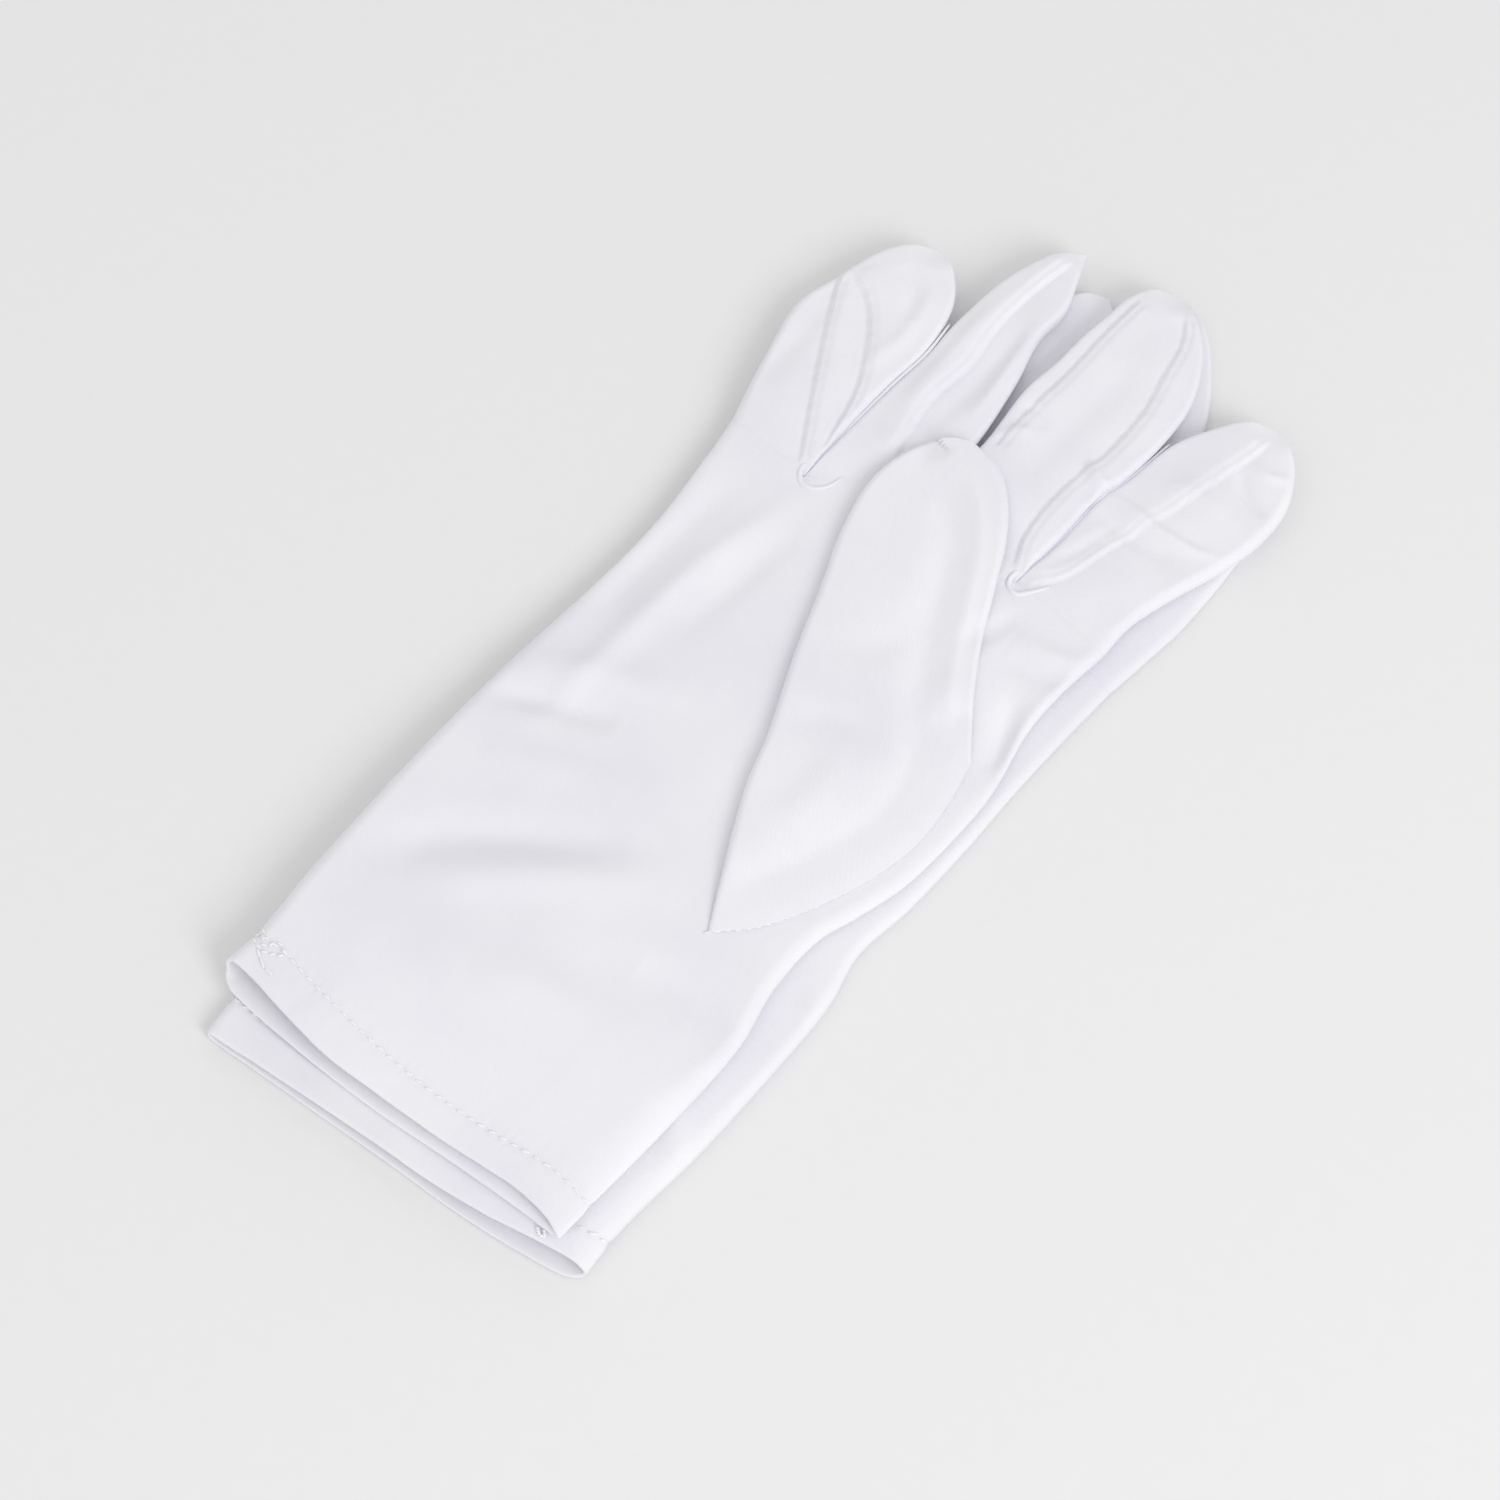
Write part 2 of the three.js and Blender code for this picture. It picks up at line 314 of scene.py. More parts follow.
def rampColour(tree, source, low, high):
    # low and high are (place on the ramp, colour)
    ramp = addNode(tree, "ShaderNodeValToRGB", None, {"Fac": source})
    for stop, (place, colour) in zip(ramp.color_ramp.elements, (low, high)):
        stop.position = place
        stop.color = colour
    return ramp.outputs["Color"]


knitLook = dict(
    pale="#F4F3F8",
    shaded="#EDECF4",
    roughness=0.68,
    walePitch=0.6,  # mm of texture; on the cloth it comes out finer on top and coarser underneath
    coursePitch=0.75,
    waleDepth=0.16,
    clouding=34.0,  # mm between slightly denser and slightly thinner places in the knit
)


def tricotKnit(name, tint=0.0):
    # Nylon-spandex warp-knit tricot, heat-set: soft and matt, with fine ribs along the hand.
    material, tree, place = newMaterial(name)
    uv = addNode(tree, "ShaderNodeUVMap", {"uv_map": "cloth"})
    ribs = {}
    for direction, pitch, unevenly in (("X", "walePitch", 0.6), ("Y", "coursePitch", 1.2)):
        wave = addNode(
            tree, "ShaderNodeTexWave",
            {"wave_type": "BANDS", "bands_direction": direction, "wave_profile": "SIN",
             "Scale": waveScale(knitLook[pitch]), "Distortion": unevenly, "Detail": 1.0,
             "Detail Scale": 2.0}, {"Vector": uv},
        )
        ribs[pitch] = wave.outputs["Fac"]
    loops = addNode(
        tree, "ShaderNodeMath", {"operation": "MULTIPLY_ADD", 1: 0.35},
        {0: ribs["coursePitch"], 2: ribs["walePitch"]},
    )
    clouds = addNode(
        tree, "ShaderNodeTexNoise", {"Scale": 1000 / knitLook["clouding"], "Detail": 3.0, "Roughness": 0.5},
        {"Vector": place},
    )
    fuzz = addNode(
        tree, "ShaderNodeTexNoise", {"Scale": 1500.0, "Detail": 2.0, "Roughness": 0.6}, {"Vector": place},
    )
    shaded, pale = ([c * (1 - tint) for c in linear(knitLook[k])[:3]] + [1] for k in ("shaded", "pale"))
    colour = rampColour(tree, clouds.outputs["Fac"], (0.35, shaded), (0.65, pale))
    nap = addNode(
        tree, "ShaderNodeBump", {"Strength": 0.10, "Distance": 0.0001}, {"Height": fuzz.outputs["Fac"]},
    )
    raised = addNode(
        tree, "ShaderNodeBump", {"Strength": knitLook["waleDepth"], "Distance": 0.00008},
        {"Height": loops, "Normal": nap},
    )
    cloth = addNode(
        tree, "ShaderNodeBsdfPrincipled",
        {"Roughness": knitLook["roughness"], "IOR": 1.5, "Specular IOR Level": 0.35, "Sheen Weight": 0.25,
         "Sheen Roughness": 0.4, "Subsurface Weight": 0.12, "Subsurface Radius": (1.0, 0.95, 1.1),
         "Subsurface Scale": 0.0012}, {"Base Color": colour, "Normal": raised},
    )
    addNode(tree, "ShaderNodeOutputMaterial", None, {"Surface": cloth})
    return material


def spunThread(name):
    # Spun polyester sewing thread, two-ply: a little brighter and smoother than the knit.
    material, tree, place = newMaterial(name)
    ply = addNode(
        tree, "ShaderNodeTexWave",
        {"wave_type": "BANDS", "bands_direction": "DIAGONAL", "Scale": 900.0, "Distortion": 0.5},
        {"Vector": place},
    )
    colour = rampColour(tree, ply.outputs["Fac"], (0.0, linear("#EFEEF2")), (1.0, linear("#FCFCFD")))
    twist = addNode(
        tree, "ShaderNodeBump", {"Strength": 0.3, "Distance": 0.00005}, {"Height": ply.outputs["Fac"]},
    )
    thread = addNode(
        tree, "ShaderNodeBsdfPrincipled", {"Roughness": 0.5, "IOR": 1.5, "Sheen Weight": 0.2},
        {"Base Color": colour, "Normal": twist},
    )
    addNode(tree, "ShaderNodeOutputMaterial", None, {"Surface": thread})
    return material


knit = tricotKnit("white nylon tricot, warp-knitted")
stripKnit = tricotKnit("white nylon tricot, cut crosswise", 0.01)
thread = spunThread("white polyester thread, spun")
print("materials made")

# The right glove's cut, in mm from the middle of its cuff.
rightCut = dict(
    mouthTop=[(-39.6, -2.8), (-38.2, -2.1), (-32, -2.3), (-24.9, -3.2), (-12, -4.2), (-0.3, -3.4),
        (14.7, -2), (24.9, -0.6), (31.7, 0.2), (39.7, -0.2), (44.2, -1.6)],
    mouthUnder=[(-39.6, -2.8), (-38.4, -4.3), (-34.8, -5.7), (-17.2, -6), (1.2, -5.2), (19.4, -3.3),
        (33.6, -2), (40.1, -1.7), (44.2, -1.6)],
    stitchTop=[(-39, 4.4), (-32.6, 4.9), (-19.4, 3.7), (-5.4, 3), (7.7, 3.2), (20.3, 4.6), (33.4, 6.7),
        (44.3, 6.4)],
    stitchUnder=[(-39, 4.4), (-34, 2.4), (-16.5, 1.6), (1.8, 2.4), (19.9, 4.2), (34, 5.6), (44.3, 6.4)],
    left=[(-39, 4.4), (-41, 26.2), (-43.2, 70.9), (-42.6, 117.1), (-45.4, 141), (-47, 150)],
    right=[(44.3, 6.4), (45.1, 26), (44.6, 47.1), (41.7, 60.4), (41.3, 73.5), (43.9, 83), (46.5, 95),
        (46.9, 113), (46, 122), (43.4, 134), (42.9, 144.3), (44, 157)],
    crotches=[(-27, 149.5), (-4.5, 163), (20.8, 158.3)],
    hemDepth=7.6,
    hemGap=0.9,
    edge=(3.2, 3),
    cornerEdge=9.0,
    edgeRise=0.4,
    crotchRise=0.74,
    dip=3.0,
    girth=174,
    fingerGirth=44,
)

rightFingers = dict(
    little=dict(
        left=[(-47, 150), (-51.6, 166), (-54.8, 179.1), (-52.6, 190.3), (-50.1, 200.4),
            (-46, 206.4), (-41.2, 208.8)],
        right=[(-27, 149.5), (-27.15, 163.6), (-26.95, 176.4), (-26.6, 187), (-29.2, 199),
            (-35.2, 206.6), (-41.2, 208.8)],
        seam=[(-28.6, 150.6), (-38.5, 167), (-49.6, 186.4), (-51.4, 192)],
        secondSeam=[(-26.6, 155), (-30.6, 170.6), (-37, 182.1), (-43.3, 189.1), (-50.4, 192.6)],
        top=8.4,
        lean=-0.55,
        folds=[([(-48, 158), (-48.5, 172), (-50.5, 184)], -0.6, 3),
            ([(-44, 200), (-38, 197), (-33, 190)], -0.45, 2.2),
            ([(-33.5, 176), (-32, 186), (-34.5, 198)], 0.4, 1.8)],
    ),
    ring=dict(
        left=[(-27, 149.5), (-26.6, 163.6), (-26.3, 176.4), (-25.9, 186.7), (-26.5, 196), (-25.9, 209.9),
            (-23.6, 219.1), (-20.2, 226), (-17, 228.4)],
        right=[(-4.5, 163), (-5, 177.7), (-7.9, 193.8), (-11, 205.2), (-11.2, 213.9),
            (-13.6, 220.6), (-17, 228.4)],
        seam=[(-15.6, 163), (-18.6, 178), (-18.2, 190.7), (-19.8, 202.9), (-19.4, 214.2), (-17.8, 224.1)],
        top=8.4,
        lean=0.75,
        folds=[([(-21, 172), (-22, 190), (-22.6, 208)], 0.5, 2),
            ([(-14, 172), (-13.6, 188), (-15.4, 206)], -0.5, 2.2),
            ([(-9, 180), (-11, 194), (-13.2, 208)], 0.45, 1.4)],
    ),
    middle=dict(
        left=[(-4.5, 163), (-3.9, 178), (-5.6, 193.4), (-4.9, 203.1), (-4.8, 211.3), (-4.1, 219),
            (-3.6, 224.6), (-0.9, 230), (4.2, 233)],
        right=[(20.8, 158.3), (21.6, 169.7), (21.4, 183.2), (23, 190.8), (23.6, 202), (22.3, 213),
            (17.4, 223), (11, 229.4), (4.2, 233)],
        seam=[(19.9, 159.4), (16.6, 167.2), (15.8, 182.3), (17.3, 191.9), (17, 204.3), (15, 213),
            (12.6, 223), (8.4, 229.6)],
        top=8.6,
        lean=-0.5,
        secondSeam=[(-0.6, 178), (-1, 190), (-0.6, 203), (-0.8, 216), (-0.4, 226)],
        folds=[([(-3.6, 180), (-0.5, 184), (3, 186)], 0.45, 1.3),
            ([(-3.6, 190), (0, 190.5), (4, 188)], -0.4, 1.3),
            ([(14.6, 189), (18.6, 186.6), (22.6, 185.9)], 0.7, 1.1),
            ([(14.8, 184.4), (19, 182.6), (22, 181.4)], -0.5, 1.5),
            ([(7, 176), (8, 196), (8, 214)], -0.4, 3.6)],
    ),
    index=dict(
        left=[(20.8, 158.3), (21.9, 169.7), (21.8, 183.2), (23.4, 191), (24.9, 202.8), (28.6, 211.1),
            (33.4, 217.9), (38.8, 219.9)],
        right=[(44, 157), (44, 165.4), (46, 174.2), (50, 186.7), (52, 196.3), (51.6, 206.2),
            (48.2, 213.8), (44.2, 218.2), (38.8, 219.9)],
        seam=[(22.2, 159.4), (27.1, 164.6), (30.1, 176.3), (32.8, 186), (35, 194.1), (36.9, 203.7),
            (38.9, 212.8), (39, 217)],
        top=7.8,
        lean=0.45,
        folds=[([(21.8, 185.9), (33, 185.3), (42, 185.8), (48, 188)], 0.75, 1.2),
            ([(22.6, 180.6), (33.9, 180.9), (42.4, 181.5)], -0.6, 1.9),
            ([(39, 206.6), (44, 203.2), (49.6, 201.6)], -0.65, 1.3),
            ([(40.2, 211), (44, 209.4), (48.4, 211.6)], 0.4, 1.2),
            ([(30, 194), (36, 197), (44, 196)], 0.35, 2.2),
            ([(24.6, 166), (27.2, 174), (28.8, 181)], -0.5, 1.6)],
    ),
)

# Where the right palm is not even: (line, height, half width), hollows below zero.
rightFolds = [
    ([(-29.6, 74), (-29.8, 96), (-28.8, 122), (-25.2, 143)], 0.95, 3.2),
    ([(-37.6, 96), (-37.6, 120), (-36, 140)], -0.75, 3.6),
    ([(-22, 104), (-21, 124), (-20, 140)], -0.55, 3.2),
    ([(-41.5, 71), (-30.7, 77.7), (-17, 83)], -1.25, 2.8),
    ([(-42, 80), (-27.5, 88.6), (-14, 94.4)], 0.7, 3.4),
    ([(-34, 60), (-20, 67), (-4, 73)], 0.55, 4),
    ([(-33, 34), (-18, 49.6), (3, 64.5)], -1.15, 4.2),
    ([(-26, 30), (-4.5, 50), (12, 61.8)], 0.7, 4.4),
    ([(44, 28), (30, 33), (14, 32), (-4, 24)], 0.7, 5),
    ([(45, 44), (34, 48), (20, 46)], -0.8, 4),
    ([(28, 149), (36, 149.6), (44, 153.4)], 0.7, 1.8),
    ([(30, 144.5), (37, 145), (43, 147)], -0.55, 2),
    ([(36.4, 138.5), (40.2, 130.5), (44, 122.5)], -1.35, 2.5),
    ([(46, 120), (43, 133), (42.4, 146), (43.6, 157)], 0.5, 1.6),
    ([(26, 152), (23.5, 144), (22.5, 138)], -0.45, 2.2),
]


def crotchDip(x, y, crotches, radius):
    # 0 at every crotch, rising to 1 away from them
    mask = np.ones(x.shape)
    for cx, cy in crotches:
        mask = mask * (1 - np.exp(-(((x - cx) ** 2 + (y - cy) ** 2) / radius**2)))
    return mask


def trankColumns(cut, rootLine, n):
    # Column places across the trank, so that every crotch falls on a column.
    knots = [0.0]
    whole = curveThrough(rootLine, 400)
    along = lengthAlong(whole)
    for cx, cy in cut["crotches"]:
        knots.append(along[np.argmin(np.hypot(whole[:, 0] - cx, whole[:, 1] - cy))] / along[-1])
    knots.append(1.0)
    parts = [a + (b - a) * sideSpacing(n + 1)[:-1] for a, b in zip(knots, knots[1:])]
    return np.concatenate([*parts, [1.0]])


def pouchHeights(cut, low, high, outer, inner):
    # Top and under heights of a flattened pouch; they meet at its folds and at its crotches.
    edge = low + cut["edgeRise"] * (high - low)
    crotch = low + cut["crotchRise"] * (high - low)
    top = crotch + (high - crotch) * inner
    under = crotch + (low - crotch) * inner
    return edge + (top - edge) * outer, edge + (under - edge) * outer


def unevenAt(cut, x, y):
    return softFolds(x, y, cut["folds"]) + ripple(x, y, cut["seed"], 46, cut["unrest"])


# The turned hem, in mm: each hump is (height, how far from the sewn line, half width).
hemShape = dict(
    rows=11,
    drawnIn=(-0.26, 0, 0.8),
    swell=(0.08, -2.2, 1.4),
    finePucker=(0.035, 0, 2.2),
    slowPucker=(0.07, -4, 5.0),
    puckers=(37, 9),
    slowStart=1.3,
    rollAngles=(35, 70, 105, 145),
    threadLift=0.22,
    cornerReach=50,
    bodyDepth=145,
)


def hemPucker(rings, cut):
    # the sewn line draws the cloth in, and the hem puckers a little between its stitches
    count = hemShape["rows"]
    below = np.linspace(0, 1, count)[:-1] * cut["hemDepth"] - cut["hemDepth"]
    depth = np.concatenate([below, np.linspace(0, hemShape["bodyDepth"], cut["bodyRows"])])[:, None]
    around = np.linspace(0, 1, rings.shape[1], endpoint=False)[None, :] * 2 * np.pi
    pull = hump(depth, hemShape["drawnIn"]) + hump(depth, hemShape["swell"])
    fine, slow = hemShape["puckers"]
    pucker = np.sin(around * fine) * hump(depth, hemShape["finePucker"])
    pucker = pucker + np.sin(around * slow + hemShape["slowStart"]) * hump(depth, hemShape["slowPucker"])
    return pull + pucker


def makeTrank(name, cut, underAt, topAt, material):
    rootLine = [cut["left"][-1], *cut["crotches"], cut["right"][-1]]
    hemRows, bodyRows = hemShape["rows"], cut["bodyRows"]
    layers = []
    for layer in ("top", "under"):
        mouth, stitch = cut["mouth" + layer.title()], cut["stitch" + layer.title()]
        n = cut[layer + "Columns"]
        s = trankColumns(cut, rootLine, n)
        root = np.array([np.interp(s, s[::n], [p[k] for p in rootLine]) for k in (0, 1)]).T
        mouthLine = curveThrough(mouth, shares=s)
        stitchLine = curveThrough(stitch, shares=s)
        v = np.linspace(0, 1, bodyRows)
        left, right = curveThrough(cut["left"], bodyRows), curveThrough(cut["right"], bodyRows)
        body = patchBetween(stitchLine, root, left, right, s, v)
        t = np.linspace(0, 1, hemRows)[:-1, None, None]
        hem = (1 - t) * mouthLine[None] + t * stitchLine[None]
        layers.append(np.concatenate([hem, body]))
    top, under = layers
    under[:, 0], under[:, -1] = top[:, 0], top[:, -1]
    solid = []
    for layer, sign in ((top, 1), (under, -1)):
        x, y = layer[..., 0], layer[..., 1]
        fromLeft, fromRight = fromSides(layer)
        cornerFall = smooth(y / hemShape["cornerReach"])
        rightRadius = cut["cornerEdge"] + (cut["edge"][1] - cut["cornerEdge"]) * cornerFall
        outer = roundedEdge(fromLeft, cut["edge"][0]) * roundedEdge(fromRight, rightRadius)
        inner = crotchDip(x, y, cut["crotches"], cut["dip"])
        topZ, underZ = pouchHeights(cut, underAt(x, y), topAt(x, y), outer, inner)
        z = topZ + unevenAt(cut, x, y) * outer * inner if sign > 0 else underZ
        solid.append(np.dstack([x, y, z]))
    rings = closedRings(*solid)
    normals = ringNormals(rings)
    rings = rings + normals * hemPucker(rings, cut)[..., None]
    normals = ringNormals(rings)
    # turned hem: the inner layer, the roll of the edge, then the outside
    gap = cut["hemGap"]
    inner = (rings[: hemRows] - normals[: hemRows] * gap)[::-1]
    toMouth = rings[0] - rings[1]
    toMouth = toMouth / np.linalg.norm(toMouth, axis=1, keepdims=True)
    roll = []
    for angle in hemShape["rollAngles"]:
        a = math.radians(angle)
        centre = rings[0] - normals[0] * gap / 2
        roll.append(centre - normals[0] * gap / 2 * math.cos(a) + toMouth * gap / 2 * math.sin(a))
    rows = np.concatenate([inner, np.array(roll), rings])
    piece = clothMesh(name, rows, material, cut["girth"])
    stitchRow = rings[hemRows - 1] + normals[hemRows - 1] * hemShape["threadLift"]
    return piece, (solid[0][-1], solid[1][-1]), stitchRow, rings


rightCut.update(folds=rightFolds, seed=3, unrest=0.3, topColumns=60, underColumns=18, bodyRows=104)
rightTrank, rightRoots, rightStitchRow, rightRings = makeTrank(
    "right_trank", rightCut, rightUnderAt, rightTopAt, knit
)
print("right trank made")


# In mm: how far each change of shape reaches, and what a finger has unless its plan says otherwise.
fingerShape = dict(
    growOver=9.0,
    tipOver=7.0,
    topOver=14,
    tipHeight=0.62,
    seamEdge=0.02,
    edge=2.0,
    innerEdge=1.25,
    crown=0.4,
    unrest=0.2,
    unrestLength=15,
)


def limbGrid(plan, near, s, rows, straight):
    # a finger's or the thumb's layer from its outline; its rows lie closer together towards the tip
    v = np.linspace(0, 1, rows)
    eased = straight * v + (1 - straight) * np.sin(v * np.pi / 2)
    left, right = curveThrough(plan["left"], shares=eased), curveThrough(plan["right"], shares=eased)
    return patchBetween(near, np.repeat(left[-1:], len(s), axis=0), left, right, s, v)


def makeFinger(name, cut, plan, index, roots, underAt, topAt, material, rows, seed):
    layers = []
    for rootRow, n, upper in ((roots[0], cut["topColumns"], True), (roots[1], cut["underColumns"], False)):
        near = rootRow[index * n : (index + 1) * n + 1, :2]
        widths = lengthAlong(near)
        grid = limbGrid(plan, near, widths / widths[-1], rows, 0.42)
        x, y = grid[..., 0], grid[..., 1]
        fromRoot = np.linalg.norm(grid - grid[:1], axis=2)
        grow = smooth(fromRoot / fingerShape["growOver"])
        outer, inner = np.ones(x.shape), crotchDip(x, y, cut["crotches"], cut["dip"])
        fromLeft, fromRight = fromSides(grid)
        for isOuter, distance, edge in (
            (index == 0, fromLeft, cut["edge"][0]), (index == 3, fromRight, cut["edge"][1]),
        ):
            start = edge if isOuter else fingerShape["seamEdge"]
            rounding = fingerShape["edge" if isOuter else "innerEdge"]
            shape = roundedEdge(distance, start + (rounding - start) * grow)
            outer, inner = (outer * shape, inner) if isOuter else (outer, inner * shape)
        # the finger is lower where its tip closes
        tipClose = smooth(np.linalg.norm(grid - grid[-1:], axis=2) / fingerShape["tipOver"])
        low, flatTop = underAt(x, y), topAt(x, y)
        high = flatTop + (plan["top"] - flatTop) * smooth(fromRoot / fingerShape["topOver"])
        high = low + (high - low) * (fingerShape["tipHeight"] + (1 - fingerShape["tipHeight"]) * tipClose)
        topZ, underZ = pouchHeights(cut, low, high, outer, inner)
        e = outer * inner
        if not upper:
            layers.append(np.dstack([x, y, underZ]))
            continue
        across = fromLeft / np.maximum(fromLeft[:, -1:], 1e-6)
        z = topZ + plan.get("crown", fingerShape["crown"]) * np.sin(np.pi * across) * grow * e
        z = z + unevenAt(cut, x, y) * e + softFolds(x, y, plan.get("folds", [])) * e * grow
        unrest = plan.get("unrest", fingerShape["unrest"])
        z = z + ripple(x, y, seed, fingerShape["unrestLength"], unrest) * e * grow
        for key in ("seam", "secondSeam"):
            if key in plan:
                z = z + pressedSeam(x, y, plan[key], plan["lean"], seed) * e
        layers.append(np.dstack([x, y, z]))
    return clothMesh(name, closedRings(*layers), material, cut["fingerGirth"])


# A pressed seam, in mm: each hump is (height, how far from the seam, half width).
seamShape = dict(
    ridge=(0.24, 0, 0.36),
    groove=(-0.20, 0.95, 0.45),
    drawnIn=(0.05, 0, 1.8),
    stitches=(3.4, 5.3),
    slope=(0.7, 4.2),
    fade=0.05,
)


def pressedSeam(x, y, line, lean, seed):
    # A fine raised line with the cloth falling away from it, drawn in a little at each stitch.
    d, side, share = offLine(x, y, line)
    fade = smooth(share / seamShape["fade"]) * smooth((1 - share) / seamShape["fade"])
    length = np.sum(np.linalg.norm(np.diff(np.array(line), axis=0), axis=1))
    fine, slow = seamShape["stitches"]
    draw = np.sin(share * length * 2 * np.pi / fine + seed) + 0.6 * np.sin(share * length * 2 * np.pi / slow)
    z = hump(d, seamShape["ridge"]) + hump(d, seamShape["groove"]) + draw * hump(d, seamShape["drawnIn"])
    start, end = seamShape["slope"]
    z = z + lean * side * bell(d, end) * (1 - bell(d, start))
    return z * fade


rightPieces = {}
for index, (finger, plan) in enumerate(rightFingers.items()):
    piece = makeFinger(
        f"right_{finger}_finger", rightCut, plan, index, rightRoots, rightUnderAt, rightTopAt, knit,
        rows=170, seed=11 + index,
    )
    rightPieces[finger] = piece
print("right fingers made")

# The right thumb lies over the palm.
thumbCut = dict(
    base=[(25.3, 60.2), (32, 68.1), (37.1, 78.3), (41, 89.6), (42.8, 100.8), (41.8, 112),
        (39.6, 121.6)],
    left=[(25.3, 60.2), (10.9, 87), (6, 99.9), (-1.9, 117.2), (-7.4, 131.2), (-12.6, 143.6),
        (-15.2, 155.6), (-13.6, 165.6), (-9.8, 172.4), (-4, 175.5)],
    right=[(39.6, 121.6), (33, 130), (25.6, 141.2), (19.2, 153.7), (14.4, 163), (8.9, 170.2),
        (3.4, 174.4), (-4, 175.5)],
    ridge=[(38, 118), (31, 124.5), (24.2, 134.5), (17.5, 147.2), (11.2, 158.3), (2.8, 166.8),
        (-5, 169.5)],
    folds=[([(2, 120), (12, 132), (8, 150)], -0.4, 4),
        ([(20, 84), (22, 96), (20, 108)], 0.5, 4),
        ([(6, 104), (18, 112), (30, 112)], -0.45, 3)],
    rows=120,
    columns=64,
    loft=2.5,
    edge=1.7,
    overPalm=0.75,
    tipRise=(2.3, 138, 30),
    ripple=(31, 30, 0.2),
    sunk=0.62,  # how far the base seam is set into the palm
    pressed=0.4,
    belly=0.3,
    baseRise=(0.18, 1.2, 0.8, 17.0),
    ridgeShape=(0.5, 0, 1.7),
    ridgeHollow=(-1.15, 6.0, 3.4),
    seamHollow=(-0.7, 8.5, 3.4),
    seamRidge=(0.35, 3.4, 1.8),
    seamFade=0.2,
    layersApart=(0.85, 0.25),
    girth=78,
)


def thumbFloorAt(y):
    return settled(laying["rightTop"], y) + ramp(y, thumbCut["tipRise"]) + thumbCut["overPalm"]


def makeThumb(name, cut, material):
    s = sideSpacing(cut["columns"])
    grid = limbGrid(cut, curveThrough(cut["base"], shares=s), s, cut["rows"], 0.4)
    x, y = grid[..., 0], grid[..., 1]
    fromLeft, fromRight = fromSides(grid)
    e = roundedEdge(fromLeft, cut["edge"]) * roundedEdge(fromRight, cut["edge"] + 0.6)
    toBase, _, along = offLine(x, y, cut["base"])
    share, quick, start, reach = cut["baseRise"]
    rise = share * roundedEdge(toBase, quick) + (1 - share) * smooth((toBase - start) / reach)
    floor = thumbFloorAt(y) + unevenAt(rightCut, x, y)
    lip = floor - cut["sunk"] + cut["sunk"] * smooth(toBase / 8)
    top = lip + (cut["loft"] * e) * rise
    # a ridge along the thumb, and the hollow on its inner side
    d, side, _ = offLine(x, y, cut["ridge"])
    top = top + (hump(d, cut["ridgeShape"]) + np.clip(side, 0, 1) * hump(d, cut["ridgeHollow"])) * e * rise
    # the hollow and the ridge that follow the base seam
    fade = smooth(along / cut["seamFade"])
    top = top + (hump(toBase, cut["seamHollow"]) + hump(toBase, cut["seamRidge"])) * fade * e
    top = top + (softFolds(x, y, cut["folds"]) + ripple(x, y, *cut["ripple"])) * e * rise
    under = lip - cut["belly"] * e * rise - cut["pressed"] * bell(toBase, 1.2) * e
    # where a hollow would bring the top layer through the lower one, it is held off
    apart, least = cut["layersApart"]
    room = top - under - apart * e
    held = under + apart * e + least * np.exp(np.minimum(room - least, 0) / least)
    top = np.where(room < least, held, top)
    rings = closedRings(np.dstack([x, y, top]), np.dstack([x, y, under]))
    return clothMesh(name, rings, material, cut["girth"])


thumb = makeThumb("right_thumb_cloth", thumbCut, knit)
print("right thumb made")

# The left glove lies underneath.
leftCut = dict(
    mouthTop=[(-34.6, -14), (-33.2, -14.1), (-22.7, -12.7), (-10.6, -11.3), (5.1, -9.6), (18.6, -8.3),
        (29.9, -6.4), (40, -4), (47.6, -2.4), (51.2, -2.2)],
    mouthUnder=[(-34.6, -14), (-33.4, -14.3), (-19.2, -12.9), (-4.6, -11.5), (9.8, -10.1), (20.6, -9.3),
        (31, -8.1), (41, -6.4), (47.3, -5), (50.4, -3.4), (51.2, -2.2)],
    stitchTop=[(-35.4, -6.4), (-21.9, -5.6), (-9.9, -4.2), (5.7, -2.6), (19.1, -1.2), (30.4, 0.4),
        (40.5, 1.8), (50.5, 4.2)],
    stitchUnder=[(-35.4, -6.4), (-21.9, -5.6), (-9.9, -4.4), (5.7, -2.8), (19.1, -1.6), (30.4, 0),
        (40.5, 1.6), (50.5, 4.2)],
    left=[(-35.4, -6.4), (-36.6, 14), (-38.4, 60), (-38.6, 110), (-39.6, 135), (-40.4, 147)],
    right=[(50.5, 4.2), (50.6, 12), (51.6, 28.7), (51.4, 51.2), (50.6, 66), (48, 78.3), (49.2, 91.3),
        (49.4, 108), (48.9, 123.3), (48.9, 138.2), (49.3, 153)],
    crotches=[(-21.5, 147), (1.5, 160.5), (26, 156)],
    hemDepth=7.6,
    hemGap=0.8,
    edge=(2.4, 2.2),
    cornerEdge=5.0,
    crotchRise=0.6,
    dip=2.6,
    edgeRise=0.42,
    girth=174,
    fingerGirth=44,
)

